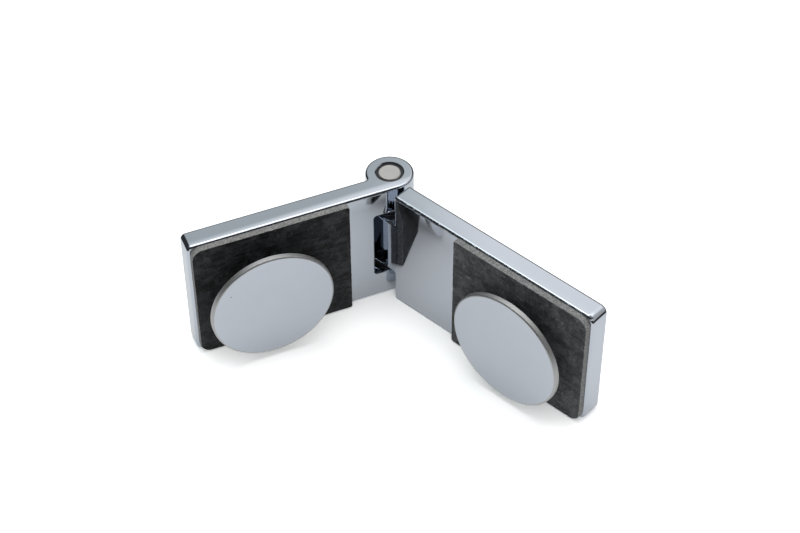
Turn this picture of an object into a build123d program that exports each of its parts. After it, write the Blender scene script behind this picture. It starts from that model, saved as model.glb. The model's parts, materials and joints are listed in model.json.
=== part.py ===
from build123d import *

import math
import os

# Glass-to-glass shower door hinge, in millimetres.
# The pin axis is Z and the hinge stands on its lower edges at z = 0.
# The fixed leaf runs along -X, and its glass side faces -Y.
# The swing leaf stands at the opening angle, with its glass side inside the V.
# Every leaf has a face plane of its own, with the origin on the pin axis at mid height:
# local x (u) runs from the pin out along the leaf, and local z (n) points to the glass.

# Both leaves
leaf_height = 50.0
leaf_thickness = 8.0
opening_angle = 115.0  # between the two leaves, as they stand
fixed_corner_radius = 2.0  # of the two corners at the fixed leaf's far end
swing_corner_radius = 2.8
near_corner_radius = 1.2
edge_round = 1.0

# Knuckles, on the pin axis
knuckle_radius = 8.5  # the glass-side face of each leaf is tangent to its knuckle
root_fillet = 1.0  # where a knuckle meets the back of its leaf
ear_height = 10.8  # each of the fixed leaf's two ears
window_setback = 9.5  # pin axis to the closed side of the fixed leaf's window
window_corner_radius = 1.2
window_edge_round = 0.4
thrust_space = 2.5  # between an ear and the swing leaf's knuckle, filled by flange and washer
tongue_root_fillet = 1.0  # where the swing leaf's tongue meets its plate

# Reach of each leaf, from the pin axis
fixed_reach = 77.0
swing_reach = 96.5
swing_setback = 9.6  # pin axis to the near end of the swing leaf's plate

# Pin, bushes, washers and set screws
pin_radius = 4.0
pin_recess = 0.2  # each pin end below the face of its ear
pin_chamfer = 0.35
running_clearance = 0.04  # pin in bush, radial
seat_clearance = 0.02  # pin in knuckle and bush in ear, radial
bush_wall = 0.8
bush_recess = 0.6
bush_flange_thickness = 1.2
bush_flange_margin = 1.0  # knuckle radius less flange radius
bore_chamfer = 0.3
washer_thickness = 1.0
washer_bore_clearance = 0.15  # around the pin, radial
set_screw_radius = 2.0
set_screw_spread = 12.0  # between the two set screws
set_screw_tip_gap = 0.05
set_screw_sink = 0.3  # outer end below the knuckle's surface
set_screw_socket = 2.0  # across flats
set_screw_socket_depth = 1.6
thread_clearance = 0.05  # every screw in its tapped hole, radial

# Gasket, between the leaf and the glass
gasket_length = 57.0
gasket_thickness = 2.3
gasket_inset = 0.4  # from the leaf's top and bottom
gasket_end_inset = 0.8  # from the leaf's far end
gasket_near_radius = 1.5
gasket_far_radius = 4.0
gasket_hole_clearance = 0.4  # around the glass sleeve, radial

# Clamp: a disc with a tapped hub, its pad, the sleeve in the glass and the screw from the back
fixed_clamp_from_end = 24.8  # clamp axis to the leaf's far end
swing_clamp_from_end = 27.0
fixed_clamp_opening = 8.6  # gasket to pad, which the glass fills
swing_clamp_opening = 6.8
disc_radius = 22.2
disc_thickness = 2.0
disc_edge_round = 0.65
hub_radius = 6.0
hub_length = 8.9
hub_chamfer = 0.5
hub_bore_depth = 7.6
pad_radius = 20.0
pad_thickness = 0.5
pad_bore_clearance = 0.5  # around the hub, radial
sleeve_wall = 2.4
sleeve_length = 8.0
sleeve_clearance = 0.15  # around the hub, radial
clamp_screw_radius = 3.0
clamp_screw_length = 14.0
clamp_screw_head_radius = 5.6
clamp_screw_socket = 4.0  # across flats
clamp_screw_socket_depth = 3.0
clamp_hole_clearance = 0.4  # around the screw in the leaf, radial
clamp_screw_sink = 0.15  # head below the leaf's back
clamp_screw_tip_chamfer = 0.5
countersink_clearance = 0.1
countersink_angle = 90.0

# Limits for choosing edges
comparison_step = 0.01  # two lengths this close count as one
parallel_cosine = 0.999
past_surface = 1.0  # how far a cut runs past the surface that it opens

# Worked out from the sizes above
mid_height = leaf_height / 2
fixed_clamp = fixed_reach - fixed_clamp_from_end  # pin axis to clamp axis
swing_clamp = swing_reach - swing_clamp_from_end
face_offset = knuckle_radius  # pin axis to the glass-side face
back_offset = face_offset - leaf_thickness
window_height = leaf_height - 2 * ear_height
tongue_height = window_height - 2 * thrust_space
swing_direction = 180.0 + opening_angle
bush_outer = pin_radius + running_clearance + bush_wall
ear_bore = bush_outer + seat_clearance
flange_radius = knuckle_radius - bush_flange_margin
thrust_play = (thrust_space - bush_flange_thickness - washer_thickness) / 2
sleeve_inner = hub_radius + sleeve_clearance
sleeve_outer = sleeve_inner + sleeve_wall
gasket_hole = sleeve_outer + gasket_hole_clearance
gasket_face = face_offset + gasket_thickness
leaf_hole = clamp_screw_radius + clamp_hole_clearance
washer_radius = flange_radius
knuckle_bore = pin_radius + seat_clearance
countersink_radius = clamp_screw_head_radius + clamp_screw_sink + countersink_clearance


def face_plane(direction_degrees, glass_turn):
    """The plane of a leaf: x out along the leaf, z towards the glass, y upright."""
    along = math.radians(direction_degrees)
    normal = math.radians(direction_degrees + glass_turn)
    return Plane(
        origin=(0, 0, mid_height),
        x_dir=(math.cos(along), math.sin(along), 0),
        z_dir=(math.cos(normal), math.sin(normal), 0),
    )


fixed_plane = face_plane(180.0, 90.0)
swing_plane = face_plane(swing_direction, -90.0)


def from_back(plane, reach=0.0, height=0.0):
    """A plane on the back of a leaf, or through the pin axis, that looks out of the back."""
    origin = plane.origin + plane.x_dir * reach + plane.y_dir * height
    return Plane(origin=origin, x_dir=plane.x_dir, z_dir=-plane.z_dir)


def turning_plane(plane, reach):
    """Through the clamp axis of a leaf: x is the radius, and y runs towards the glass."""
    across_leaf = plane.x_dir.cross(plane.z_dir)
    return Plane(origin=plane.origin + plane.x_dir * reach, x_dir=plane.x_dir, z_dir=across_leaf)


def runs_across(edge, plane):
    """Whether a straight edge runs through the leaf, from its back to its glass side."""
    return edge.geom_type == GeomType.LINE and abs((edge % 0.5).dot(plane.z_dir)) > parallel_cosine


def stands_upright(edge):
    """Whether an edge is straight and parallel to the pin."""
    return edge.geom_type == GeomType.LINE and abs((edge % 0.5).Z) > parallel_cosine


def distance_out(edge, plane):
    """How far along its leaf an edge's centre lies, from the pin axis."""
    return plane.to_local_coords(edge.center()).X


def height_off_middle(edge):
    """How far above or below mid height an edge's centre lies."""
    return abs(edge.center().Z - mid_height)


def save(piece, name):
    """Labels a finished piece and writes its STEP file."""
    piece.part.label = name
    export_step(piece.part, f"parts/{name}.step")


def make_fixed_leaf():
    """The leaf with two ears: a plate, a full-height knuckle, and a window cut through both."""
    with BuildPart() as leaf:
        with BuildSketch(fixed_plane.offset(back_offset)):
            with Locations((fixed_reach / 2, 0)):
                Rectangle(fixed_reach, leaf_height)
        extrude(amount=leaf_thickness)
        with BuildSketch():
            Circle(knuckle_radius)
        extrude(amount=leaf_height)

        far = [e for e in leaf.edges() if runs_across(e, fixed_plane) and
               distance_out(e, fixed_plane) > fixed_clamp]
        fillet(far, fixed_corner_radius)
        inside = [e for e in leaf.edges() if stands_upright(e) and
                  tongue_root_fillet < distance_out(e, fixed_plane) < fixed_clamp]
        fillet(inside, root_fillet)
        rims = [e for e in leaf.edges() if not runs_across(e, fixed_plane) and
                not (stands_upright(e) and distance_out(e, fixed_plane) < fixed_clamp)]
        fillet(rims, edge_round)

        cut_depth = 2 * (knuckle_radius + past_surface)
        with BuildSketch(fixed_plane.offset(-cut_depth / 2)):
            with Locations((window_setback - cut_depth / 2, 0)):
                window = Rectangle(cut_depth, window_height)
            fillet(window.vertices().group_by(Axis.X)[-1], window_corner_radius)
        extrude(amount=cut_depth, mode=Mode.SUBTRACT)
        mouth = [e for e in leaf.edges() if not runs_across(e, fixed_plane) and
                 all(abs(v.Z - mid_height) < window_height / 2 + comparison_step for v in e.vertices())]
        fillet(mouth, window_edge_round)

        with Locations((0, 0, leaf_height)):
            Hole(ear_bore, depth=leaf_height)
        bore_ends = [e for e in leaf.edges().filter_by(GeomType.CIRCLE) if
                     abs(e.radius - ear_bore) < comparison_step and
                     height_off_middle(e) > (window_height + ear_height) / 2]
        chamfer(bore_ends, bore_chamfer)
        with Locations(from_back(fixed_plane.offset(back_offset), fixed_clamp)):
            CounterSinkHole(leaf_hole, countersink_radius, leaf_thickness, countersink_angle)
    save(leaf, "fixed_leaf")


def make_swing_leaf():
    """The leaf with one knuckle: its plate, a tongue through the window, and the knuckle."""
    with BuildPart() as leaf:
        with BuildSketch(swing_plane.offset(back_offset)):
            with Locations(((swing_setback + swing_reach) / 2, 0)):
                Rectangle(swing_reach - swing_setback, leaf_height)
            with Locations((swing_setback / 2, 0)):
                Rectangle(swing_setback, tongue_height)
        extrude(amount=leaf_thickness)

        corners = [e for e in leaf.edges() if runs_across(e, swing_plane)]
        far = [e for e in corners if distance_out(e, swing_plane) > swing_clamp]
        near = [e for e in corners if e not in far and distance_out(e, swing_plane) > swing_setback / 2]
        ends = [e for e in near if height_off_middle(e) > window_height / 2]
        fillet(far, swing_corner_radius)
        fillet(ends, near_corner_radius)
        fillet([e for e in near if e not in ends], tongue_root_fillet)

        with BuildSketch(Plane.XY.offset(mid_height - tongue_height / 2)):
            Circle(knuckle_radius)
        extrude(amount=tongue_height)
        inside = [e for e in leaf.edges() if stands_upright(e) and
                  height_off_middle(e) < comparison_step and
                  running_clearance < distance_out(e, swing_plane) < swing_setback]
        fillet(inside, root_fillet)
        rims = [e for e in leaf.edges() if not runs_across(e, swing_plane) and
                not (stands_upright(e) and distance_out(e, swing_plane) < swing_setback - comparison_step)]
        fillet(rims, edge_round)

        with Locations((0, 0, mid_height + tongue_height / 2)):
            Hole(knuckle_bore, depth=tongue_height)
        for side in (1, -1):
            with BuildSketch(from_back(swing_plane, height=side * set_screw_spread / 2)):
                Circle(set_screw_radius)
            extrude(amount=knuckle_radius + past_surface, mode=Mode.SUBTRACT)
        with Locations(from_back(swing_plane.offset(back_offset), swing_clamp)):
            CounterSinkHole(leaf_hole, countersink_radius, leaf_thickness, countersink_angle)
    save(leaf, "swing_leaf")


def make_pin():
    """The hinge pin, held in the swing leaf's knuckle and free in the two bushes."""
    length = leaf_height - 2 * pin_recess
    with BuildPart() as pin:
        with BuildSketch(Plane.XY.offset(pin_recess)):
            Circle(pin_radius)
        extrude(amount=length)
        chamfer(pin.edges().filter_by(GeomType.CIRCLE), pin_chamfer)
    save(pin, "hinge_pin")


def make_bush(name, side):
    """A flanged bush: its sleeve lines one ear and its flange faces the swing leaf's knuckle."""
    inner = pin_radius + running_clearance
    ear_face = mid_height + side * window_height / 2
    flange_face = ear_face - side * bush_flange_thickness
    sleeve_end = mid_height + side * (mid_height - bush_recess)
    with BuildPart() as bush:
        with BuildSketch(Plane.XZ):
            with BuildLine():
                Polyline(
                    (inner, flange_face), (flange_radius, flange_face), (flange_radius, ear_face),
                    (bush_outer, ear_face), (bush_outer, sleeve_end), (inner, sleeve_end),
                    close=True,
                )
            make_face()
        revolve(axis=Axis.Z)
    save(bush, name)


def make_thrust_washer(name, side):
    """A plain washer between a bush's flange and the swing leaf's knuckle."""
    middle = tongue_height / 2 + thrust_play + washer_thickness / 2
    with BuildPart() as washer:
        with BuildSketch(Plane.XY.offset(mid_height + side * middle - washer_thickness / 2)):
            Circle(washer_radius)
            Circle(pin_radius + washer_bore_clearance, mode=Mode.SUBTRACT)
        extrude(amount=washer_thickness)
    save(washer, name)


def make_set_screw(name, side):
    """A set screw in the back of the swing leaf's knuckle, which locks the pin."""
    tip = pin_radius + set_screw_tip_gap
    outer_end = knuckle_radius - set_screw_sink
    looking_out = from_back(swing_plane, height=side * set_screw_spread / 2)
    with BuildPart() as screw:
        with BuildSketch(looking_out.offset(tip)):
            Circle(set_screw_radius - thread_clearance)
        extrude(amount=outer_end - tip)
        with BuildSketch(looking_out.offset(outer_end)):
            RegularPolygon(set_screw_socket / 2, 6, major_radius=False)
        extrude(amount=-set_screw_socket_depth, mode=Mode.SUBTRACT)
    save(screw, name)


def make_gasket(name, plane, reach, clamp):
    """The gasket on a leaf's glass side, with a hole for the glass sleeve."""
    with BuildPart() as gasket:
        with BuildSketch(plane.offset(face_offset)):
            with Locations((reach - gasket_end_inset - gasket_length / 2, 0)):
                sheet = Rectangle(gasket_length, leaf_height - 2 * gasket_inset)
            near = sheet.vertices().group_by(Axis.X)[0]
            far = sheet.vertices().group_by(Axis.X)[-1]
            fillet(near, gasket_near_radius)
            fillet(far, gasket_far_radius)
            with Locations((clamp, 0)):
                Circle(gasket_hole, mode=Mode.SUBTRACT)
        extrude(amount=gasket_thickness)
    save(gasket, name)


def make_clamp_disc(name, plane, clamp, clamp_opening):
    """The plain round disc, with a tapped hub that goes through the hole in the glass."""
    spot = turning_plane(plane, clamp)
    rear = gasket_face + clamp_opening + pad_thickness
    front = rear + disc_thickness
    hub_end = rear - hub_length
    tapped = clamp_screw_radius
    with BuildPart() as disc:
        with BuildSketch(spot) as section:
            with BuildLine():
                Polyline(
                    (0, front), (disc_radius, front), (disc_radius, rear), (hub_radius, rear),
                    (hub_radius, hub_end), (tapped, hub_end), (tapped, hub_end + hub_bore_depth),
                    (0, hub_end + hub_bore_depth),
                    close=True,
                )
            make_face()
            rim = section.vertices().group_by(Axis.X)[-1].sort_by(Axis.Y)[-1]
            hub_corner = section.vertices().group_by(Axis.Y)[0].sort_by(Axis.X)[-1]
            fillet(rim, disc_edge_round)
            chamfer(hub_corner, hub_chamfer)
        revolve(axis=Axis(spot.origin, plane.z_dir))
    save(disc, name)


def make_disc_pad(name, plane, clamp, clamp_opening):
    """The thin pad behind a clamp disc, which bears on the glass."""
    spot = plane.offset(gasket_face + clamp_opening)
    with BuildPart() as pad:
        with BuildSketch(spot):
            with Locations((clamp, 0)):
                Circle(pad_radius)
                Circle(hub_radius + pad_bore_clearance, mode=Mode.SUBTRACT)
        extrude(amount=pad_thickness)
    save(pad, name)


def make_glass_sleeve(name, plane, clamp):
    """The sleeve around the hub, which keeps the glass off the metal."""
    with BuildPart() as sleeve:
        with BuildSketch(plane.offset(face_offset)):
            with Locations((clamp, 0)):
                Circle(sleeve_outer)
                Circle(sleeve_inner, mode=Mode.SUBTRACT)
        extrude(amount=sleeve_length)
    save(sleeve, name)


def make_clamp_screw(name, plane, clamp):
    """The countersunk screw that goes through the leaf's back into the hub."""
    spot = turning_plane(plane, clamp)
    shank = clamp_screw_radius - thread_clearance
    head_face = back_offset + clamp_screw_sink
    cone_end = head_face + (clamp_screw_head_radius - shank) / math.tan(
        math.radians(countersink_angle / 2))
    tip = head_face + clamp_screw_length
    with BuildPart() as screw:
        with BuildSketch(spot) as section:
            with BuildLine():
                Polyline(
                    (0, head_face), (clamp_screw_head_radius, head_face), (shank, cone_end),
                    (shank, tip), (0, tip),
                    close=True,
                )
            make_face()
            tip_corner = section.vertices().group_by(Axis.Y)[-1].sort_by(Axis.X)[-1]
            chamfer(tip_corner, clamp_screw_tip_chamfer)
        revolve(axis=Axis(spot.origin, plane.z_dir))
        with BuildSketch(plane.offset(head_face)):
            with Locations((clamp, 0)):
                RegularPolygon(clamp_screw_socket / 2, 6, major_radius=False)
        extrude(amount=clamp_screw_socket_depth, mode=Mode.SUBTRACT)
    save(screw, name)


os.makedirs("parts", exist_ok=True)

make_fixed_leaf()
make_swing_leaf()
make_pin()
for level, side in (("upper", 1), ("lower", -1)):
    make_bush(f"{level}_bush", side)
    make_thrust_washer(f"{level}_thrust_washer", side)
    make_set_screw(f"{level}_set_screw", side)
for leaf_name, plane, reach, clamp, clamp_opening in (
    ("fixed", fixed_plane, fixed_reach, fixed_clamp, fixed_clamp_opening),
    ("swing", swing_plane, swing_reach, swing_clamp, swing_clamp_opening),
):
    make_gasket(f"{leaf_name}_gasket", plane, reach, clamp)
    make_clamp_disc(f"{leaf_name}_clamp_disc", plane, clamp, clamp_opening)
    make_disc_pad(f"{leaf_name}_disc_pad", plane, clamp, clamp_opening)
    make_glass_sleeve(f"{leaf_name}_glass_sleeve", plane, clamp)
    make_clamp_screw(f"{leaf_name}_clamp_screw", plane, clamp)
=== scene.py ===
"""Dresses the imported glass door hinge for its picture.

The two leaves keep their solids and get a polished plate finish. Every other piece is a surface
worked out here from the sizes of the solid that it stands for, and replaces that solid.
"""

import json
import logging
import math
from dataclasses import dataclass
from enum import Enum
from typing import Any, Mapping, Sequence, Union

import bpy
import numpy as np
from mathutils import Matrix, Vector


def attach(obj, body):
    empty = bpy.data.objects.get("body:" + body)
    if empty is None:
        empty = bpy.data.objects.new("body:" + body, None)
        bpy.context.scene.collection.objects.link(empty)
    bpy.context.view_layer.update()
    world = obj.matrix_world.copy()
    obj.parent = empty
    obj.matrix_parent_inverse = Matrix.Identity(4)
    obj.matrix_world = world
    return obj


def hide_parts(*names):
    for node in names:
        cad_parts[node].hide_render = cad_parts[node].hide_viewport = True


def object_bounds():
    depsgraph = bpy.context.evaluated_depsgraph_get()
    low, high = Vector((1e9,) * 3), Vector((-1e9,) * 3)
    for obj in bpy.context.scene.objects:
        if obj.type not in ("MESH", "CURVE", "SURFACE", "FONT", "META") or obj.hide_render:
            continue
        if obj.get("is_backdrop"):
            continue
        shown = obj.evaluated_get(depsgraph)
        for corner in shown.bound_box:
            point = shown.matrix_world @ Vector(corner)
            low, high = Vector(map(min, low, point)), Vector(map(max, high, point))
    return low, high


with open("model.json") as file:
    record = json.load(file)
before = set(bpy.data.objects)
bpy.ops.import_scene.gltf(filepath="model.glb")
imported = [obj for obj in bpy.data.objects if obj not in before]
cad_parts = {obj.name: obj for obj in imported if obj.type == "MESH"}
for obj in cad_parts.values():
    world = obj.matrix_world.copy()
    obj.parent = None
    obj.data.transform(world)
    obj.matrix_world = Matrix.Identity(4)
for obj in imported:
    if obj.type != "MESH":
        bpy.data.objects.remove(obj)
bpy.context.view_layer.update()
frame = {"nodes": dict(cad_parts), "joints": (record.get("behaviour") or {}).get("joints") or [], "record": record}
MM = 0.001
ON_AXIS = 1e-9  # a radius under this many metres is a point on the axis
LOG = logging.getLogger("hinge")

Colour = tuple[float, float, float]
Corner = tuple[float, float, float]


# Shader maths


class Channel:
    """One output of a shader node, on which arithmetic adds Math nodes."""

    def __init__(self, shader: "Shader", socket: bpy.types.NodeSocket) -> None:
        """Wraps a socket of a shader."""
        self.shader = shader
        self.socket = socket

    def _math(self, operation: str, *values: Union["Channel", float]) -> "Channel":
        """Adds a Math node.

        Args:
            operation: The Math node's operation.
            values: Its operands, in order.

        Returns:
            The node's result.
        """
        return self.shader.node("ShaderNodeMath", {"operation": operation}, dict(enumerate(values)))

    def __add__(self, other: Union["Channel", float]) -> "Channel":
        """The sum."""
        return self._math("ADD", self, other)

    def __radd__(self, other: float) -> "Channel":
        """The sum, from the right."""
        return self._math("ADD", other, self)

    def __sub__(self, other: Union["Channel", float]) -> "Channel":
        """The difference."""
        return self._math("SUBTRACT", self, other)

    def __rsub__(self, other: float) -> "Channel":
        """The difference, from the right."""
        return self._math("SUBTRACT", other, self)

    def __mul__(self, other: Union["Channel", float]) -> "Channel":
        """The product."""
        return self._math("MULTIPLY", self, other)

    def __rmul__(self, other: float) -> "Channel":
        """The product, from the right."""
        return self._math("MULTIPLY", other, self)

    def absolute(self) -> "Channel":
        """The value without its sign."""
        return self._math("ABSOLUTE", self)

    def at_least(self, floor: float) -> "Channel":
        """The value, or floor where that is larger."""
        return self._math("MAXIMUM", self, floor)

    def sine(self) -> "Channel":
        """The sine of the value."""
        return self._math("SINE", self)

    def step(self, low: float, high: float) -> "Channel":
        """A smooth rise from 0 at low to 1 at high."""
        settings = {"interpolation_type": "SMOOTHSTEP", "clamp": True}
        return self.shader.node("ShaderNodeMapRange", settings, {0: self, 1: low, 2: high})


class Shader:
    """A node tree that is written as calls and arithmetic."""

    def __init__(self, tree: bpy.types.NodeTree) -> None:
        """Starts from an empty tree."""
        self.tree = tree
        self.tree.nodes.clear()

    def node(
        self,
        kind: str,
        settings: Mapping[str, Any],
        inputs: Mapping[Union[int, str], Any],
        output: Union[int, str] = 0,
    ) -> Channel:
        """Adds a node.

        Args:
            kind: The node's type.
            settings: Its properties, which are set first.
            inputs: A constant or a Channel for each socket, by name or index.
            output: The socket that is wanted, by name or index.

        Returns:
            That output.
        """
        node = self.tree.nodes.new(kind)
        for name, value in settings.items():
            setattr(node, name, value)
        for key, value in inputs.items():
            if isinstance(value, Channel):
                self.tree.links.new(value.socket, node.inputs[key])
            else:
                node.inputs[key].default_value = value
        if len(node.outputs) == 0:
            return Channel(self, node.inputs[0])
        return Channel(self, node.outputs[output])

    def place(self) -> Channel:
        """The point on the piece, in metres."""
        return self.node("ShaderNodeTexCoord", {}, {}, "Object")

    def attribute(self, name: str) -> Channel:
        """A number that the mesh holds at each point."""
        return self.node("ShaderNodeAttribute", {"attribute_name": name}, {}, "Fac")

    def sight(self) -> tuple[Channel, Channel]:
        """Two masks: whether the camera sees the surface, and whether metal or glass shows it."""
        seen = self.node("ShaderNodeLightPath", {}, {}, "Is Camera Ray")
        outputs = seen.socket.node.outputs
        glossy, through = (Channel(self, outputs[f"Is {ray} Ray"]) for ray in ("Glossy", "Transmission"))
        return seen, glossy + through

    def vector(self, operation: str, *values: Union[Channel, Corner], output: str = "Vector") -> Channel:
        """Adds a Vector Math node, whose output is a Vector or a Value."""
        return self.node("ShaderNodeVectorMath", {"operation": operation}, dict(enumerate(values)), output)

    def mapped(self, vector: Channel, turn: Sequence[float], scale: Sequence[float]) -> Channel:
        """The point, turned about the origin and then stretched."""
        turned = self.node("ShaderNodeMapping", {}, {"Vector": vector, "Rotation": tuple(turn)})
        return self.node("ShaderNodeMapping", {}, {"Vector": turned, "Scale": tuple(scale)})

    def noise(self, vector: Channel, size: float, detail: float = 3.0, rough: float = 0.5) -> Channel:
        """Soft noise from 0 to 1 whose features are about size metres across."""
        inputs = {"Vector": vector, "Scale": 1.0 / size, "Detail": detail, "Roughness": rough}
        return self.node("ShaderNodeTexNoise", {}, inputs, "Fac")

    def mix(
        self, share: Union[Channel, float], first: Union[Channel, Colour], second: Union[Channel, Colour]
    ) -> Channel:
        """A colour between two: first where share is 0, second where it is 1."""
        ends = [c if isinstance(c, Channel) else (*c, 1.0) for c in (first, second)]
        return self.node("ShaderNodeMix", {"data_type": "RGBA"}, {0: share, 6: ends[0], 7: ends[1]}, 2)

    def bump(self, height: Channel, distance: float, strength: float = 1.0) -> Channel:
        """The surface normal over a height from 0 to 1 that stands for distance metres."""
        inputs = {"Height": height, "Distance": distance, "Strength": strength}
        return self.node("ShaderNodeBump", {}, inputs, "Normal")

    def split(self, vector: Channel) -> tuple[Channel, Channel, Channel]:
        """The three parts of a vector."""
        first = self.node("ShaderNodeSeparateXYZ", {}, {0: vector})
        outputs = first.socket.node.outputs
        return first, Channel(self, outputs[1]), Channel(self, outputs[2])


# Finishes


class Finish:
    """What a piece is finished with. Each kind works out its own Principled sockets."""

    def material(self, name: str) -> bpy.types.Material:
        """Makes the finish into a material.

        Args:
            name: The material's name.

        Returns:
            The new material.
        """
        material = bpy.data.materials.new(name)
        material.use_nodes = True
        shader = Shader(material.node_tree)
        surface = shader.node("ShaderNodeBsdfPrincipled", {}, self._sockets(shader))
        shader.node("ShaderNodeOutputMaterial", {}, {"Surface": surface})
        return material

    def _sockets(self, shader: Shader) -> dict[str, Any]:
        """The Principled sockets' values, by name."""
        raise NotImplementedError


def shaded(colour: Colour, share: float) -> Colour:
    """A colour made darker or lighter by a factor."""
    return tuple(part * share for part in colour)


@dataclass(frozen=True)
class PolishedPlate(Finish):
    """Bright plate on a cast body: a mirror with faint polishing haze and soft ripples.

    Attributes:
        tint: How much of each colour the plate reflects.
        haze: Roughness where the plate is best polished.
        haze_spread: How much rougher its dullest patches are.
        patch_size: Width of those patches.
        patch_shade: How bright the tint is in them, as a share.
        ripple: Height of the polishing ripples.
        ripple_size: Their length.
        turned: How much rougher the plate is where the mesh says that it is only turned.
        turned_tint: How much of each colour it reflects there.
        middle: Mid height of the piece.
        roll_start: Distance from mid height at which polishing starts to round the faces over,
            or none for a face that stays flat.
        roll_rate: How fast the rounding grows: its slope per metre beyond the start.
        front: Direction in which polishing rounds the piece over too, or none.
        front_start: Distance along it at which that starts, from the pin axis.
        front_rate: How fast that rounding grows: its slope per metre.
        edge_wave: Height of the waves along the rounded front edges.
        wave_size: Their length.
        wave_band: Distances from mid height at which they start, are whole, start to fade and end.
        wave_rise: Distances in front of the pin axis over which they rise.
        speck: The place of a small dark mark, or none.
        speck_radius: Its radius.
        speck_tint: Its colour.
    """

    tint: Colour = (0.605, 0.645, 0.71)
    haze: float = 0.03
    haze_spread: float = 0.05
    patch_size: float = 14 * MM
    patch_shade: float = 0.97
    ripple: float = 0.0015 * MM
    ripple_size: float = 6 * MM
    turned: float = 0.5
    turned_tint: Colour = (0.561, 0.561, 0.561)
    middle: float = 25 * MM
    roll_start: float | None = None
    roll_rate: float = 14.0
    front: Corner | None = None
    front_start: float = 4.6 * MM
    front_rate: float = 26.0
    edge_wave: float = 0.12 * MM
    wave_size: float = 2.8 * MM
    wave_band: tuple[float, float, float, float] = (23.9 * MM, 24.3 * MM, 24.85 * MM, 24.95 * MM)
    wave_rise: tuple[float, float] = (7.2 * MM, 7.7 * MM)
    speck: Corner | None = None
    speck_radius: float = 0.3 * MM
    speck_tint: Colour = (0.12, 0.12, 0.13)

    def _sockets(self, shader: Shader) -> dict[str, Any]:
        """The shader's values: haze comes in soft patches, and ripples bend the reflections."""
        place = shader.place()
        patches = shader.noise(place, self.patch_size, detail=4.0, rough=0.6)
        only_turned = shader.attribute("turned")
        tint = shader.mix(patches.step(0.2, 0.8), self.tint, shaded(self.tint, self.patch_shade))
        tint = shader.mix(only_turned, tint, self.turned_tint)
        if self.speck is not None:
            from_speck = shader.vector("DISTANCE", place, self.speck, output="Value")
            cover = 1 - from_speck.step(0.5 * self.speck_radius, self.speck_radius)
            tint = shader.mix(cover, tint, self.speck_tint)
        haze = self.haze + self.haze_spread * patches.step(0.35, 0.9)
        return {
            "Base Color": tint,
            "Metallic": 1.0,
            "Roughness": haze + self.turned * only_turned,
            "Normal": shader.bump(self._relief(shader, place), 1.0),
        }

    def _relief(self, shader: Shader, place: Channel) -> Channel:
        """The height of the plate over its solid, in metres.

        Rounding over lowers it by half the rate times the square of the distance past the start,
        so that its slope grows evenly from there.
        """
        height = self.ripple * shader.noise(place, self.ripple_size, detail=1.0, rough=0.3)
        away = (shader.split(place)[2] - self.middle).absolute()
        if self.roll_start is not None:
            height = height - self._rounding_over(away, self.roll_start, self.roll_rate)
        if self.front is not None:
            ahead = shader.vector("DOT_PRODUCT", place, self.front, output="Value")
            height = height - self._rounding_over(ahead, self.front_start, self.front_rate)
            start, whole, fade, end = self.wave_band
            band = away.step(start, whole) * (1 - away.step(fade, end)) * ahead.step(*self.wave_rise)
            waves = shader.noise(place, self.wave_size, detail=2.0, rough=0.6)
            height = height + self.edge_wave * waves * band
        return height

    @staticmethod
    def _rounding_over(distance: Channel, start: float, rate: float) -> Channel:
        """How far a face has been polished down at a distance."""
        beyond = (distance - start).at_least(0.0)
        return 0.5 * rate * beyond * beyond


@dataclass(frozen=True)
class GasketSheet(Finish):
    """Pressed fibre and rubber sheet: mottled charcoal, drawn out one way, paler where it is cut.

    Attributes:
        dark: Colour of the sheet between its fibres.
        light: Colour of its palest streaks.
        cut: Colour of its cut edges.
        turn: Direction of the streaks, as a turn about each axis.
        stretch: How much longer than wide a streak is.
        cloud_size: Width of the soft clouds.
        streak_size: Width of a streak.
        fleck_size: Width of a pale fleck.
        grain_size: Width of the grain.
        mottling: Shares of clouds, streaks and grain in the mottling.
        fleck_shade: How much brighter than the streaks a fleck is.
        cut_shade: How bright the grain's dark side is on a cut edge, as a share.
        relief: Height of streaks and grain.
    """

    dark: Colour
    light: Colour
    cut: Colour
    turn: tuple[float, float, float] = (0.0, 0.0, 0.0)
    stretch: float = 4.0
    cloud_size: float = 4.5 * MM
    streak_size: float = 1.5 * MM
    fleck_size: float = 0.9 * MM
    grain_size: float = 0.6 * MM
    mottling: tuple[float, float, float] = (0.45, 0.3, 0.25)
    fleck_shade: float = 2.2
    cut_shade: float = 0.45
    relief: float = 0.08 * MM

    def _sockets(self, shader: Shader) -> dict[str, Any]:
        """The shader's values: clouds, streaks and small flecks, and a paler rough cut edge."""
        place = shader.place()
        drawn = shader.mapped(place, self.turn, (1.0 / self.stretch, 1.0, 1.0))
        clouds = shader.noise(place, self.cloud_size, detail=8.0, rough=0.7)
        streaks = shader.noise(drawn, self.streak_size, detail=6.0, rough=0.7)
        flecks = shader.noise(place, self.fleck_size, detail=2.0).step(0.6, 0.68)
        grain = shader.noise(place, self.grain_size, detail=4.0, rough=0.75).step(0.36, 0.64)
        of_clouds, of_streaks, of_grain = self.mottling
        mottle = clouds.step(0.45, 0.58) * of_clouds + streaks.step(0.46, 0.56) * of_streaks
        mottle = mottle + grain * of_grain
        face = shader.mix(mottle, self.dark, self.light)
        face = shader.mix(0.45 * flecks * (0.3 + mottle), face, shaded(self.light, self.fleck_shade))
        edge = shader.mix(grain, shaded(self.cut, self.cut_shade), self.cut)
        return {
            "Base Color": shader.mix(shader.attribute("cut"), face, edge),
            "Roughness": 0.62 + 0.2 * streaks,
            "Specular IOR Level": 0.35,
            "Normal": shader.bump(0.6 * streaks + 0.4 * grain, self.relief),
        }


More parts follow.
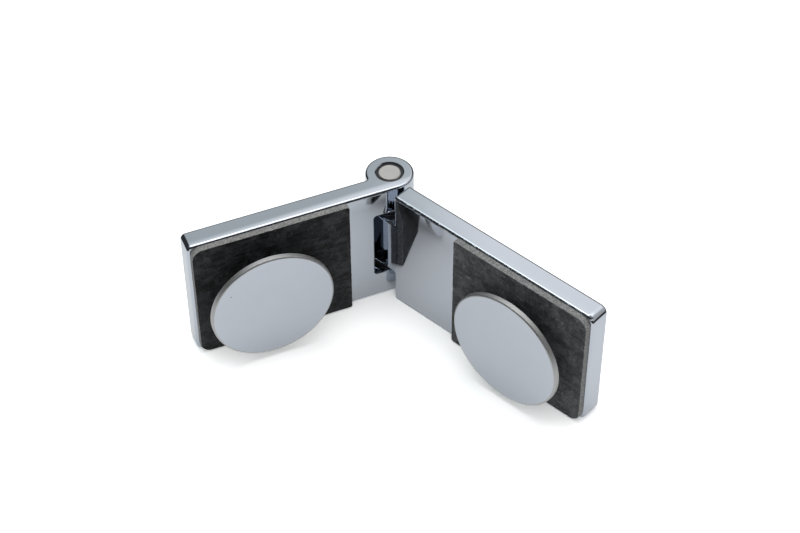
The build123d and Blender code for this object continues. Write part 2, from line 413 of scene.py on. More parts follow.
@dataclass(frozen=True)
class TurnedSteel(Finish):
    """Stainless steel off the lathe: fine rings about its own axis.

    Attributes:
        centre: A point on the axis that it was turned about.
        axis: The direction of that axis.
        tint: How much of each colour the steel reflects.
        roughness: Its roughness where it is cleanest.
        ring: Distance from one ring to the next.
        ring_depth: Their depth.
        wander_size: Length over which the rings wander.
        smudge_size: Width of the smudges.
        smudge_shade: How bright the tint is in them, as a share.
        smudge_roughness: How much rougher the steel is in them.
    """

    centre: Corner
    axis: Corner
    tint: Colour = (0.66, 0.62, 0.58)
    roughness: float = 0.3
    ring: float = 0.22 * MM
    ring_depth: float = 0.004 * MM
    wander_size: float = 2 * MM
    smudge_size: float = 3 * MM
    smudge_shade: float = 0.86
    smudge_roughness: float = 0.12

    def _sockets(self, shader: Shader) -> dict[str, Any]:
        """The shader's values: rings follow the distance from the axis, with some wander."""
        place = shader.place()
        from_centre = shader.vector("SUBTRACT", place, self.centre)
        cross = shader.vector("CROSS_PRODUCT", from_centre, self.axis)
        distance = shader.vector("LENGTH", cross, output="Value")
        wander = shader.noise(place, self.wander_size, detail=2.0)
        rings = 0.5 + 0.5 * (distance * (2 * math.pi / self.ring) + 2.0 * wander).sine()
        smudge = shader.noise(place, self.smudge_size, detail=4.0)
        return {
            "Base Color": shader.mix(smudge, self.tint, shaded(self.tint, self.smudge_shade)),
            "Metallic": 1.0,
            "Roughness": self.roughness + self.smudge_roughness * smudge,
            "Normal": shader.bump(rings, self.ring_depth),
        }


@dataclass(frozen=True)
class MouldedNylon(Finish):
    """Black moulded plastic with a fine matt grain.

    Attributes:
        base: Its colour.
        roughness: Its roughness.
        grain_size: Width of the grain.
        grain_depth: Its depth.
        grain_roughness: How much rougher the grain is on top.
        rubbed_size: Width of the rubbed patches.
        rubbed_shade: How much brighter they are.
        rubbed_shine: How much smoother they are.
    """

    base: Colour = (0.018, 0.018, 0.02)
    roughness: float = 0.45
    grain_size: float = 0.12 * MM
    grain_depth: float = 0.01 * MM
    grain_roughness: float = 0.15
    rubbed_size: float = 4 * MM
    rubbed_shade: float = 1.6
    rubbed_shine: float = 0.1

    def _sockets(self, shader: Shader) -> dict[str, Any]:
        """The shader's values: an even grain, and rubbed patches that shine a little more."""
        place = shader.place()
        grain = shader.noise(place, self.grain_size, detail=2.0)
        rubbed = shader.noise(place, self.rubbed_size, detail=3.0).step(0.45, 0.75)
        return {
            "Base Color": shader.mix(rubbed, self.base, shaded(self.base, self.rubbed_shade)),
            "Roughness": self.roughness + self.grain_roughness * grain - self.rubbed_shine * rubbed,
            "Normal": shader.bump(grain, self.grain_depth),
        }


# Surfaces


@dataclass(frozen=True)
class Axes:
    """A place with three directions of its own, for a leaf or a turned piece.

    Attributes:
        origin: The place, in metres.
        out: The first direction: outwards along the leaf, or any radius of a turned piece.
        up: The second direction.
        face: The third direction: out of the leaf's glass side, or along a turned piece.
    """

    origin: np.ndarray
    out: np.ndarray
    up: np.ndarray
    face: np.ndarray

    def point(self, out: Any, up: Any, face: Any) -> np.ndarray:
        """The points at these distances along the three directions, as an array of x, y and z."""
        parts = np.broadcast_arrays(out, up, face)
        return self.origin + sum(p[..., None] * d for p, d in zip(parts, (self.out, self.up, self.face)))

    def direction(self, out: Any, up: Any, face: Any) -> np.ndarray:
        """The same, for directions."""
        return self.point(out, up, face) - self.origin

    def extent(self, node: str) -> tuple[np.ndarray, np.ndarray]:
        """How far a solid reaches along the three directions.

        Args:
            node: The solid's name.

        Returns:
            Its lowest and highest distances, in metres.
        """
        vertices = frame["nodes"][node].data.vertices
        flat = np.empty(len(vertices) * 3)
        vertices.foreach_get("co", flat)
        away = flat.reshape(-1, 3) - self.origin
        along = away @ np.stack([self.out, self.up, self.face], axis=1)
        return along.min(axis=0), along.max(axis=0)

    def moved(self, out: float = 0.0, up: float = 0.0, face: float = 0.0) -> "Axes":
        """The same directions at another place."""
        return Axes(self.point(out, up, face), self.out, self.up, self.face)

    def flipped(self) -> "Axes":
        """The same place, looking out of the other side."""
        return Axes(self.origin, self.out, -self.up, -self.face)


def mesh_object(
    name: str, vertices: np.ndarray, faces: Sequence[Sequence[int]], normals: np.ndarray | None = None
) -> bpy.types.Object:
    """Puts a surface into the scene, with its object at the origin.

    Args:
        name: The piece's name.
        vertices: One row of x, y and z for each vertex.
        faces: Vertex numbers of each face, counterclockwise from outside.
        normals: A normal for each corner of each face in turn, or none for smooth shading.

    Returns:
        The new object.
    """
    mesh = bpy.data.meshes.new(name)
    mesh.from_pydata(vertices.tolist(), [], faces)
    mesh.polygons.foreach_set("use_smooth", [True] * len(mesh.polygons))
    if normals is not None:
        mesh.normals_split_custom_set(normals.tolist())
    mesh.validate()
    mesh.update()
    made = bpy.data.objects.new(name, mesh)
    bpy.context.scene.collection.objects.link(made)
    return made


class Section(Enum):
    """The outline of a turned piece at one corner of its profile, seen along its axis."""

    ROUND = "round"
    HEXAGON = "hexagon"


@dataclass(frozen=True)
class Turn:
    """One corner of a turned piece's profile.

    Attributes:
        radius: Distance from the axis, or half the width across flats of a hexagon.
        height: Distance along the axis.
        rounding: Radius that the corner is rounded to.
        section: Whether the piece is round or hexagonal there.
        polished: Whether the surface from here to the next corner was polished after turning.
    """

    radius: float
    height: float
    rounding: float = 0.0
    section: Section = Section.ROUND
    polished: bool = True


def ring_profile(inner: float, outer: float, low: float, high: float, ease: float) -> list[Turn]:
    """The profile of a plain ring with eased edges, from the middle of its bore round to there.

    Args:
        inner: Radius of its bore.
        outer: Its outer radius.
        low: Where it starts along the axis.
        high: Where it ends.
        ease: Radius that its four edges are rounded to.

    Returns:
        The corners, of which the last is the first again.
    """
    middle = Turn(inner, (low + high) / 2)
    edges = ((inner, high), (outer, high), (outer, low), (inner, low))
    return [middle, *(Turn(radius, height, ease) for radius, height in edges), middle]


def profile_strips(
    corners: Sequence[Turn], arc_steps: int
) -> tuple[np.ndarray, np.ndarray, np.ndarray, np.ndarray]:
    """Cuts a profile into short strips, with a normal at both ends of each.

    A rounded corner becomes an arc that is tangent to both its sides. A strip's normal is its
    direction turned a quarter turn to the left, and on an arc it points along the arc's radius.

    Args:
        corners: The profile, from one end of the axis or ring round to the other.
        arc_steps: Strips in each arc.

    Returns:
        The points (strips + 1, 2), the normals (strips, 2, 2), how hexagonal each point is, and
        whether each point starts a surface that is only turned.
    """
    points: list[np.ndarray] = []
    normals: list[np.ndarray] = []
    hexagonal: list[float] = []
    unpolished: list[float] = []
    places = [np.array((c.radius, c.height)) for c in corners]
    for number, corner in enumerate(corners):
        here = places[number]
        if corner.rounding > 0:
            before = here - places[number - 1]
            after = places[number + 1] - here
            before, after = before / np.linalg.norm(before), after / np.linalg.norm(after)
            turned = math.atan2(before[0] * after[1] - before[1] * after[0], before @ after)
            reach = corner.rounding * math.tan(abs(turned) / 2)
            start_normal = np.array((-before[1], before[0]))
            side = -np.sign(turned)
            centre = here - before * reach - side * corner.rounding * start_normal
            angles = np.linspace(0.0, turned, arc_steps + 1)
            cos, sin = np.cos(angles), np.sin(angles)
            spun = np.stack([
                cos * start_normal[0] - sin * start_normal[1],
                sin * start_normal[0] + cos * start_normal[1],
            ], axis=1)
            run = centre + side * corner.rounding * spun
        else:
            run, spun = here[None], None
        if points:
            straight = run[0] - points[-1]
            straight = straight / np.linalg.norm(straight)
            flat = np.array((-straight[1], straight[0]))
            normals.append(np.stack([flat, flat]))
        points.extend(run)
        hexagonal.extend([float(corner.section is Section.HEXAGON)] * len(run))
        unpolished.extend([float(not corner.polished)] * len(run))
        if spun is not None:
            normals.extend(np.stack([spun[:-1], spun[1:]], axis=1))
    return np.array(points), np.array(normals), np.array(hexagonal), np.array(unpolished)


def turned_piece(
    name: str, axes: Axes, corners: Sequence[Turn], steps: int = 160, arc_steps: int = 8
) -> bpy.types.Object:
    """Turns a profile about the third direction of its axes.

    A point of the surface is the origin, plus its height along the axis, plus its radius times
    the direction at its angle. Where the section is a hexagon, the radius at an angle is half
    the width across flats divided by the cosine of the angle to the nearest flat's middle.

    Args:
        name: The piece's name.
        axes: Where it stands.
        corners: Its profile, with the material on the right of its direction of travel.
        steps: Faces round the piece, a multiple of six.
        arc_steps: Faces across each rounded corner.

    Returns:
        The new object. It is closed, because its profile starts and ends on the axis or closes.
    """
    points, strip_normals, hexagonal, unpolished = profile_strips(corners, arc_steps)
    closed_ring = bool(np.allclose(points[0], points[-1])) and points[0][0] > 0
    angles = np.arange(steps) * (2 * math.pi / steps)
    sixth = math.pi / 3
    to_flat = (angles + sixth / 2) % sixth - sixth / 2  # angle to the nearest flat's middle
    widening = 1 + hexagonal[:, None] * (1 / np.cos(to_flat) - 1)
    radii = points[:, :1] * widening
    grid = axes.point(radii * np.cos(angles), radii * np.sin(angles), points[:, 1:] + 0 * radii)

    on_axis = points[:, 0] < ON_AXIS
    counts = np.where(on_axis, 1, steps)
    starts = np.concatenate([[0], np.cumsum(counts)[:-1]])
    if closed_ring:
        starts[-1] = starts[0]
        counts[-1] = 0
    column = np.arange(steps)
    numbers = starts[:, None] + np.where(on_axis[:, None], 0, column)
    vertices = np.concatenate([g[:c] for g, c in zip(grid, counts)])

    following = (column + 1) % steps
    faces: list[list[int]] = []
    corner_normals: list[np.ndarray] = []
    only_turned: list[float] = []
    round_directions = axes.direction(np.cos(angles), np.sin(angles), 0 * angles)
    for strip in range(len(points) - 1):
        low, high = numbers[strip], numbers[strip + 1]
        quads = np.stack([low, high, high[following], low[following]], axis=1)
        ends = strip_normals[strip]
        spun = ends[:, :1, None] * round_directions + ends[:, 1:, None] * axes.face
        loops = np.stack([spun[0], spun[1], spun[1][following], spun[0][following]], axis=1)
        if hexagonal[strip] or hexagonal[strip + 1]:
            first = vertices[quads[:, 2]] - vertices[quads[:, 0]]
            second = vertices[quads[:, 3]] - vertices[quads[:, 1]]
            flat = np.cross(first, second)
            flat /= np.linalg.norm(flat, axis=1, keepdims=True)
            loops = np.repeat(flat[:, None], 4, axis=1)
        keep = [0, 1, 2, 3]
        if on_axis[strip]:
            keep = [0, 1, 2]
        elif on_axis[strip + 1]:
            keep = [0, 1, 3]
        faces.extend(quads[:, keep].tolist())
        corner_normals.append(loops[:, keep].reshape(-1, 3))
        only_turned.extend([unpolished[strip]] * steps)
    piece = mesh_object(name, vertices, faces, np.concatenate(corner_normals))
    if any(only_turned):
        piece.data.attributes.new("turned", "FLOAT", "FACE").data.foreach_set("value", only_turned)
    return piece


def smooth_field(first: np.ndarray, second: np.ndarray, size: float, seed: int) -> np.ndarray:
    """Gentle irregularity over a surface, from about -1 to 1.

    It is the sum of 12 sine waves in seeded directions, with lengths of one to three times size,
    over the square root of twice their number.

    Args:
        first: One coordinate of each point, in metres.
        second: The other.
        size: The shortest wave, in metres.
        seed: Which pattern.

    Returns:
        The field at each point.
    """
    source = np.random.default_rng(seed)
    waves = 12
    turn = 2 * math.pi
    heading = source.uniform(0, turn, waves)
    length = size * source.uniform(1, 3, waves)
    phase = source.uniform(0, turn, waves)
    along = first[..., None] * np.cos(heading) + second[..., None] * np.sin(heading)
    return np.sin(turn * along / length + phase).sum(axis=-1) / math.sqrt(2 * waves)


def rounded_rectangle(
    width: float, height: float, near_radius: float, far_radius: float, pitch: float
) -> np.ndarray:
    """The outline of a rectangle with rounded corners, about its own middle.

    Each side is divided into steps of about pitch, and each corner into an arc of equal steps.

    Args:
        width: Its size along the first axis.
        height: Its size along the second.
        near_radius: Radius of the two corners at the low end of the first axis.
        far_radius: Radius of the two at the high end.
        pitch: Length of one step.

    Returns:
        Its points (count, 2), counterclockwise, without the first one again.
    """
    half_width, half_height = width / 2, height / 2
    quarter = math.pi / 2
    corners = (
        (half_width, -half_height, far_radius, -quarter),
        (half_width, half_height, far_radius, 0.0),
        (-half_width, half_height, near_radius, quarter),
        (-half_width, -half_height, near_radius, 2 * quarter),
    )
    fewest = 4
    runs = []
    for x, y, radius, start in corners:
        steps = max(fewest, math.ceil(radius * quarter / pitch))
        angles = start + np.linspace(0, quarter, steps + 1)
        centre = (x - math.copysign(radius, x), y - math.copysign(radius, y))
        arc = radius * np.stack([np.cos(angles), np.sin(angles)], axis=1)
        runs.append(np.array(centre) + arc)
    outline = []
    for run, after in zip(runs, runs[1:] + runs[:1]):
        gap = after[0] - run[-1]
        steps = max(1, round(float(np.linalg.norm(gap)) / pitch))
        share = np.linspace(0, 1, steps + 1)[1:-1, None]
        outline.append(np.concatenate([run, run[-1] + share * gap]))
    return np.concatenate(outline)


# Pieces


class Side(Enum):
    """Which half of the hinge a piece belongs to."""

    FIXED = "fixed"
    SWING = "swing"

    @property
    def body(self) -> str:
        """The body that its pieces ride on."""
        return f"{self.value}_side"


def leaf_axes(side: Side) -> Axes:
    """A leaf's own directions, from the seat that the record gives for its glass.

    Args:
        side: Which leaf.

    Returns:
        Axes with the origin on the pin axis at mid height.
    """
    mounts = {mount["name"]: mount for mount in frame["record"]["mounts"]}
    seat = mounts[f"{side.value}_glass_seat"]
    origin = np.array(frame["joints"][0]["pos_m"], float)
    face = np.array(seat["axis"], float)
    up = np.array((0.0, 0.0, 1.0))
    out = np.cross(up, face)
    if out @ (np.array(seat["pos_m"]) - origin) < 0:
        out = -out
    return Axes(origin, out, np.cross(face, out), face)


def finish_piece(
    piece: bpy.types.Object, material: bpy.types.Material, side: Side, node: str
) -> None:
    """Dresses a new piece and lets it stand for a solid.

    Args:
        piece: The new piece.
        material: Its material.
        side: The half of the hinge that it rides with.
        node: The solid that it replaces.
    """
    piece.data.materials.append(material)
    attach(piece, side.body)
    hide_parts(node)
    LOG.info("%s: %d faces", piece.name, len(piece.data.polygons))


def dress_solid(node: str, material: bpy.types.Material) -> None:
    """Gives a solid that stays its finish."""
    frame["nodes"][node].data.materials.clear()
    frame["nodes"][node].data.materials.append(material)
    LOG.info("%s: keeps its solid", node)


@dataclass
class Gasket:
    """The sheet between a leaf and its glass, with a hole for the glass sleeve.

    Attributes:
        side: Which leaf it lies on.
        finish: Its finish.
        near_radius: Radius of its corners towards the pin.
        far_radius: Radius of its corners at the leaf's far end.
        hole_clearance: Space round the sleeve.
        edge: Rounding along the cut.
        unevenness: How much its face rises and falls.
        uneven_length: Shortest distance over which it does.
        raggedness: How much its cut edge wanders.
        ragged_length: Shortest distance over which it does.
        pitch: Distance between points of the outline.
        face_rows: Rows of points across the face.
        crowding: Power that draws those rows together towards the outline.
    """

    side: Side
    finish: GasketSheet
    near_radius: float = 0.9 * MM
    far_radius: float = 4.0 * MM
    hole_clearance: float = 0.4 * MM
    edge: float = 0.12 * MM
    unevenness: float = 0.03 * MM
    uneven_length: float = 2.2 * MM
    raggedness: float = 0.07 * MM
    ragged_length: float = 1.2 * MM
    pitch: float = 0.35 * MM
    face_rows: int = 70
    crowding: float = 0.85

    def build(self, axes: Axes) -> None:
        """Makes the sheet as one closed surface and dresses it.

        The surface is a grid: one way it goes round the outline, and the other way round the
        sheet's section, over the face to the cut edge, across it, and back to the hole. A point
        lies on the straight line from the hole's rim to the outline, at its row's share of it.
        """
        node = f"{self.side.value}_gasket"
        low, high = axes.extent(node)
        rim, outer = self._borders(axes, low, high)
        share, level, cut = self._section(low[2], high[2], np.linalg.norm(outer - rim, axis=1))
        flat = rim + share[..., None] * (outer - rim)
        field = smooth_field(flat[..., 0], flat[..., 1], self.uneven_length, seed=11)
        dip = self.unevenness * np.clip(0.5 - 0.5 * field, 0, 1)
        on_face = np.clip((level - low[2]) / (high[2] - low[2]), 0, 1) ** 4
        grid = axes.point(flat[..., 0], flat[..., 1], level - dip * on_face)
        piece = self._closed_grid(node.replace("gasket", "gasket_sheet"), grid, axes)
        values = np.repeat(cut, len(outer)).astype(np.float32)
        piece.data.attributes.new("cut", "FLOAT", "POINT").data.foreach_set("value", values)
        finish_piece(piece, self.finish.material(piece.name), self.side, node)

    def _borders(self, axes: Axes, low: np.ndarray, high: np.ndarray) -> tuple[np.ndarray, np.ndarray]:
        """Where the sheet's face ends, at the hole and at the outline.

        Args:
            axes: The leaf's axes.
            low: The solid's lowest distances along them.
            high: Its highest.

        Returns:
            The points of the hole's rim and those of the ragged outline, each (outline, 2).
        """
        sleeve_low, sleeve_high = axes.extent(f"{self.side.value}_glass_sleeve")
        hole_radius = (sleeve_high[0] - sleeve_low[0]) / 2 + self.hole_clearance
        hole = np.array(((sleeve_low[0] + sleeve_high[0]) / 2, 0.0))
        centre = np.array(((low[0] + high[0]) / 2, 0.0))
        width, height = high[0] - low[0], high[1] - low[1]
        outline = rounded_rectangle(width, height, self.near_radius, self.far_radius, self.pitch)
        wander = smooth_field(outline[:, 0], outline[:, 1], self.ragged_length, seed=3)
        inward = -outline / np.linalg.norm(outline, axis=1, keepdims=True)
        outer = centre + outline + inward * (self.raggedness * (1 + wander)[:, None])
        away = outer - hole
        return hole + hole_radius * away / np.linalg.norm(away, axis=1, keepdims=True), outer

    def _section(
        self, back: float, front: float, reach: np.ndarray
    ) -> tuple[np.ndarray, np.ndarray, np.ndarray]:
        """The way round the sheet's section, row by row.

        Args:
            back: Height of the sheet's back.
            front: Height of its face.
            reach: Distance from the rim to the outline, at each point of the outline.

        Returns:
            Each row's share of the way to the outline (rows, outline), its height (rows, outline),
            and whether it lies on a cut (rows).
        """
        ones = np.ones(len(reach))
        face = np.linspace(0, 1, self.face_rows) ** self.crowding
        round_over = np.linspace(0, math.pi / 2, 4)[1:]
        wall = np.linspace(front - self.edge, back, 9)[1:]
        behind = np.linspace(1, 0, 12)[1:]
        bore = np.linspace(back, front, 5)[1:-1]
        bands = (
            (np.multiply.outer(face, 1 - self.edge / reach), np.full(len(face), front), 0.0),
            (
                1 - np.multiply.outer(1 - np.sin(round_over), self.edge / reach),
                front - self.edge * (1 - np.cos(round_over)),
                1.0,
            ),
            (np.multiply.outer(np.ones(len(wall)), ones), wall, 1.0),
            (np.multiply.outer(behind, ones), np.full(len(behind), back), 0.0),
            (np.multiply.outer(np.zeros(len(bore)), ones), bore, 1.0),
        )
        share = np.concatenate([shares for shares, _, _ in bands])
        level = np.concatenate([heights for _, heights, _ in bands])[:, None] * ones
        cut = np.concatenate([np.full(len(heights), on_cut) for _, heights, on_cut in bands])
        return share, level, cut

    @staticmethod
    def _closed_grid(name: str, grid: np.ndarray, axes: Axes) -> bpy.types.Object:
        """Makes a grid that closes on itself both ways into a piece.

        Args:
            name: The piece's name.
            grid: Points (section, outline, 3).
            axes: The leaf's axes, which say which way round the outline is seen from outside.

        Returns:
            The new object.
        """
        rows, columns = grid.shape[:2]
        number = np.arange(rows * columns).reshape(rows, columns)
        below = np.roll(number, -1, axis=0)
        beside, across = (np.roll(corner, -1, axis=1) for corner in (number, below))
        quads = np.stack([number, below, across, beside], axis=-1)
        if np.cross(axes.out, axes.up) @ axes.face < 0:
            quads = quads[..., ::-1]
        return mesh_object(name, grid.reshape(-1, 3), quads.reshape(-1, 4).tolist())


@dataclass
class Clamp:
    """What holds one pane: the disc with its hub, its pad, the glass sleeve and the screw.

    Attributes:
        side: Which leaf it clamps on.
        disc_round: Rounding of the disc's front edge.
        disc_rear_round: Rounding of its rear edge.
        disc_thickness: Thickness of the disc.
        hub_radius: Radius of the hub.
        hub_root: Rounding where the hub meets the disc.
        hub_chamfer: Chamfer at the hub's end.
        thread_radius: Radius of the tapped hole.
        thread_depth: Depth of the tapped hole.
        thread_gap: Space between the screw and the tapped hole.
        lead_in: Chamfer at the tapped hole's mouth.
        pad_gap: Space between pad and hub.
        pad_ease: Rounding of the pad's edges.
        sleeve_gap: Space between sleeve and hub.
        sleeve_ease: Rounding of the sleeve's edges.
        head_edge: Width of the narrow flank round the screw's head.
        head_ease: Rounding of its two edges.
        tip_chamfer: Chamfer at the screw's tip.
        socket_width: Hexagon socket of the screw, across flats.
        socket_depth: Its depth.
        socket_chamfer: Width and depth of the chamfer at its mouth.
        socket_cone: Depth of the drill's cone at its bottom.
    """

    side: Side
    disc_round: float = 0.65 * MM
    disc_rear_round: float = 0.15 * MM
    disc_thickness: float = 2.0 * MM
    hub_radius: float = 6.0 * MM
    hub_root: float = 0.3 * MM
    hub_chamfer: float = 0.5 * MM
    thread_radius: float = 3.0 * MM
    thread_depth: float = 7.6 * MM
    thread_gap: float = 0.05 * MM
    lead_in: float = 0.3 * MM
    pad_gap: float = 0.5 * MM
    pad_ease: float = 0.15 * MM
    sleeve_gap: float = 0.15 * MM
    sleeve_ease: float = 0.35 * MM
    head_edge: float = 0.3 * MM
    head_ease: float = 0.2 * MM
    tip_chamfer: float = 0.5 * MM
    socket_width: float = 4.0 * MM
    socket_depth: float = 3.0 * MM
    socket_chamfer: tuple[float, float] = (0.35 * MM, 0.25 * MM)
    socket_cone: float = 0.5 * MM

    def build(self, axes: Axes, plate: PolishedPlate) -> None:
        """Makes the four pieces.

        Args:
            axes: The leaf's axes.
            plate: The plate on the disc.
        """
        low, high = axes.extent(self._node("clamp_disc"))
        spot = axes.moved(out=(low[0] + high[0]) / 2)
        self._build_disc(spot, (high[0] - low[0]) / 2, low[2], high[2], plate)
        self._build_pad(spot)
        self._build_sleeve(spot)
        self._build_screw(spot)

    def _node(self, part: str) -> str:
        """The solid's name."""
        return f"{self.side.value}_{part}"

    def _build_disc(
        self, spot: Axes, radius: float, hub_end: float, front: float, plate: PolishedPlate
    ) -> None:
        """The disc and its hub, turned as one piece."""
        rear = front - self.disc_thickness
        chamfered = hub_end + self.hub_chamfer
        bottom = hub_end + self.thread_depth
        corners = [
            Turn(0.0, front),
            Turn(radius, front, self.disc_round, polished=False),
            Turn(radius, rear, self.disc_rear_round, polished=False),
            Turn(self.hub_radius, rear, self.hub_root),
            Turn(self.hub_radius, chamfered),
            Turn(self.hub_radius - self.hub_chamfer, hub_end),
            Turn(self.thread_radius + self.lead_in, hub_end),
            Turn(self.thread_radius, hub_end + self.lead_in),
            Turn(self.thread_radius, bottom),
            Turn(0.0, bottom),
        ]
        piece = turned_piece(self._node("clamp_disc_turned"), spot, corners, steps=240, arc_steps=10)
        finish_piece(piece, plate.material(piece.name), self.side, self._node("clamp_disc"))

    def _build_pad(self, spot: Axes) -> None:
        """The pad behind the disc, a flat ring with soft edges."""
        node = self._node("disc_pad")
        low, high = spot.extent(node)
        corners = ring_profile(self.hub_radius + self.pad_gap, high[0], low[2], high[2], self.pad_ease)
        piece = turned_piece(self._node("disc_pad_ring"), spot, corners, arc_steps=3)
        finish = MouldedNylon(base=(0.03, 0.03, 0.032), roughness=0.6)
        finish_piece(piece, finish.material(piece.name), self.side, node)

    def _build_sleeve(self, spot: Axes) -> None:
        """The plastic sleeve round the hub, with eased ends."""
        node = self._node("glass_sleeve")
        low, high = spot.extent(node)
        inner = self.hub_radius + self.sleeve_gap
        corners = ring_profile(inner, high[0], low[2], high[2], self.sleeve_ease)
        piece = turned_piece(self._node("glass_sleeve_ring"), spot, corners, arc_steps=4)
        finish_piece(piece, MouldedNylon().material(piece.name), self.side, node)

    def _build_screw(self, spot: Axes) -> None:
        """The countersunk screw, seen from the leaf's back: its head, socket and shank."""
        node = self._node("clamp_screw")
        low, high = spot.extent(node)
        back = spot.flipped()
        face, tip = -low[2], -high[2]
        head = (high[0] - low[0]) / 2
        shank = self.thread_radius - self.thread_gap
        cone_end = face - (head - shank)
        half_socket = self.socket_width / 2
        floor = face - self.socket_depth
        wider, deeper = self.socket_chamfer
        corners = [
            Turn(0.0, floor - self.socket_cone),
            Turn(half_socket, floor, section=Section.HEXAGON),
            Turn(half_socket, face - deeper, section=Section.HEXAGON),
            Turn(half_socket + wider, face),
            Turn(head - self.head_edge, face, self.head_ease),
            Turn(head, face - self.head_edge, self.head_ease),
            Turn(shank, cone_end - self.head_edge),
            Turn(shank, tip + self.tip_chamfer),
            Turn(shank - self.tip_chamfer, tip),
            Turn(0.0, tip),
        ]
        piece = turned_piece(self._node("clamp_screw_turned"), back, corners, steps=120, arc_steps=4)
        finish = TurnedSteel(tuple(spot.origin), tuple(spot.face))
        finish_piece(piece, finish.material(piece.name), self.side, node)


@dataclass
class Pivot:
    """The pin, its two bushes and washers, and the screws that lock it in the swing leaf.

    Attributes:
        pin_chamfer: Chamfer at each end of the pin.
        ease: Rounding of the edges of pin, bushes and washers.
        bush_gap: Space between pin and bush.
        bush_wall: Thickness of a bush's wall.
        flange: Thickness of its flange.
        washer_gap: Space between pin and washer.
        screw_chamfer: Chamfer at both ends of a set screw.
        screw_ease: Rounding of that chamfer's edges at the outer end.
        socket_width: Hexagon socket of a set screw, across flats.
        socket_depth: Its depth.
        socket_chamfer: Width and depth of the chamfer at its mouth.
        socket_cone: Depth of the drill's cone at its bottom.
        pin_steel: Tint and roughness of the pin's ends.
        screw_steel: Tint of the darker set screws.
    """

    pin_chamfer: float = 0.35 * MM
    ease: float = 0.12 * MM
    bush_gap: float = 0.04 * MM
    bush_wall: float = 0.8 * MM
    flange: float = 1.2 * MM
    washer_gap: float = 0.15 * MM
    screw_chamfer: float = 0.3 * MM
    screw_ease: float = 0.1 * MM
    socket_width: float = 2.0 * MM
    socket_depth: float = 1.6 * MM
    socket_chamfer: tuple[float, float] = (0.25 * MM, 0.15 * MM)
    socket_cone: float = 0.2 * MM
    pin_steel: tuple[Colour, float] = ((0.66, 0.645, 0.625), 0.36)
    screw_steel: Colour = (0.30, 0.30, 0.31)

    def build(self, swing: Axes) -> None:
        """Makes the pieces on the pin axis, and the two set screws.

        Args:
            swing: The swing leaf's axes.
        """
        x, y, z = np.eye(3)
        upright = Axes(swing.origin, x, y, z)
        radius = self._build_pin(upright)
        for level, way in (("upper", upright), ("lower", upright.flipped())):
            self._build_bush(level, way, radius)
            self._build_washer(level, way, radius)
            self._build_set_screw(level, swing)

    def _build_pin(self, upright: Axes) -> float:
        """The pin, with chamfered ends.

        Returns:
            Its radius.
        """
        low, high = upright.extent("hinge_pin")
        radius, chamfer = high[0], self.pin_chamfer
        corners = [
            Turn(0.0, high[2]),
            Turn(radius - chamfer, high[2], self.ease),
            Turn(radius, high[2] - chamfer, self.ease),
            Turn(radius, low[2] + chamfer, self.ease),
            Turn(radius - chamfer, low[2], self.ease),
            Turn(0.0, low[2]),
        ]
        piece = turned_piece("hinge_pin_turned", upright, corners, arc_steps=4)
        finish = TurnedSteel(tuple(upright.origin), tuple(upright.face), *self.pin_steel)
        finish_piece(piece, finish.material(piece.name), Side.SWING, "hinge_pin")
        return float(radius)

    def _build_bush(self, level: str, way: Axes, pin_radius: float) -> None:
        """A bush: its sleeve in the ear and its flange below the ear, seen from its own end."""
        node = f"{level}_bush"
        low, high = way.extent(node)
        inner = pin_radius + self.bush_gap
        outer, flange = inner + self.bush_wall, high[0]
        ear_face = low[2] + self.flange
        middle, ease = (ear_face + high[2]) / 2, self.ease
        corners = [
            Turn(inner, middle),
            Turn(inner, high[2], ease),
            Turn(outer, high[2], ease),
            Turn(outer, ear_face),
            Turn(flange, ear_face, ease),
            Turn(flange, low[2], ease),
            Turn(inner, low[2], ease),
            Turn(inner, middle),
        ]
        piece = turned_piece(f"{node}_turned", way, corners, steps=120, arc_steps=3)
        finish_piece(piece, MouldedNylon().material(piece.name), Side.FIXED, node)

    def _build_washer(self, level: str, way: Axes, pin_radius: float) -> None:
        """A plain washer between a bush's flange and the middle knuckle."""
        node = f"{level}_thrust_washer"
        low, high = way.extent(node)
        corners = ring_profile(pin_radius + self.washer_gap, high[0], low[2], high[2], self.ease)
        piece = turned_piece(f"{node}_ring", way, corners, steps=120, arc_steps=3)
        finish = MouldedNylon(base=(0.03, 0.03, 0.033), roughness=0.35)
        finish_piece(piece, finish.material(piece.name), Side.FIXED, node)

    def _build_set_screw(self, level: str, swing: Axes) -> None:
        """A set screw with a hexagon socket, looking out of the knuckle's back."""
        node = f"{level}_set_screw"
        low, high = swing.extent(node)
        spot = swing.moved(up=(low[1] + high[1]) / 2).flipped()
        end, tip, radius = -low[2], -high[2], (high[1] - low[1]) / 2
        half_socket, chamfer = self.socket_width / 2, self.screw_chamfer
        floor = end - self.socket_depth
        wider, deeper = self.socket_chamfer
        corners = [
            Turn(0.0, floor - self.socket_cone),
            Turn(half_socket, floor, section=Section.HEXAGON),
            Turn(half_socket, end - deeper, section=Section.HEXAGON),
            Turn(half_socket + wider, end),
            Turn(radius - chamfer, end, self.screw_ease),
            Turn(radius, end - chamfer, self.screw_ease),
            Turn(radius, tip + chamfer),
            Turn(radius - chamfer, tip),
            Turn(0.0, tip),
        ]
        piece = turned_piece(f"{node}_turned", spot, corners, steps=72, arc_steps=3)
        finish = TurnedSteel(tuple(spot.origin), tuple(spot.face), tint=self.screw_steel)
        finish_piece(piece, finish.material(piece.name), Side.SWING, node)


# Studio


